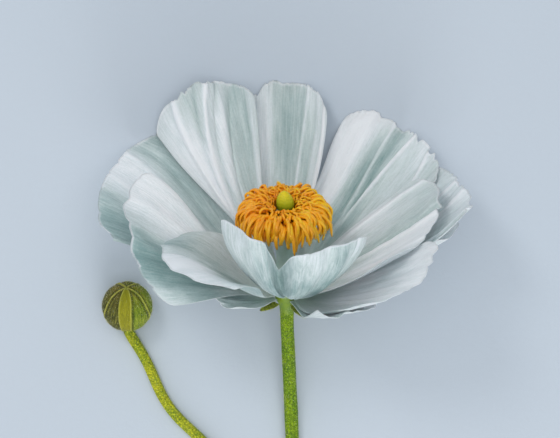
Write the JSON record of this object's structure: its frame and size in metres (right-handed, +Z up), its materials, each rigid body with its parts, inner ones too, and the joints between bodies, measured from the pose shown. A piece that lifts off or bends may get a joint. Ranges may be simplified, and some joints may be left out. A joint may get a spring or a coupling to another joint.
{
  "type": "ranunculus flower",
  "caption": "Cut white ranunculus flower with cupped petals, orange stamens and a green pistil, and a round bud on the same stem, lying on its side.",
  "frame": {"origin": "on the surface that the flower lies on, under the middle of its bounding box", "axes": "+Y along the stem from its cut end to the bloom, +X to the right of a viewer who looks down on it with the bloom away from them, +Z up"},
  "size_m": [0.1112, 0.184, 0.089],
  "materials": {
    "petal": "thin soft white petal, pale blue-grey in its shade and green towards the base, with fine veins from base to rim",
    "sepal": "dull olive green, brownish towards the tip, with fine hairs",
    "stem": "matt yellow-green skin with fine lengthwise ribs and short pale hairs",
    "pistil": "yellow-green, darker at the base, slightly glossy",
    "stamen": "bright orange with a mealy surface, deeper orange in the gaps",
    "bud": "dark green with yellow-green raised seams and short pale hairs"
  },
  "bodies": {
    "root": {"petal_front": "petal", "petal_right_inner": "petal", "petal_back_left": "petal", "petal_left_inner": "petal", "petal_low_left": "petal", "petal_back": "petal", "petal_right_low": "petal", "petal_back_right": "petal", "petal_left_low": "petal", "petal_right_outer": "petal", "petal_left_outer": "petal", "petal_right_under": "petal", "petal_bottom": "petal", "sepal_1": "sepal", "sepal_2": "sepal", "sepal_3": "sepal", "sepal_4": "sepal", "sepal_5": "sepal", "stem": "stem", "pistil": "pistil", "stamens": "stamen", "bud": "bud"}
  },
  "joints": []
}
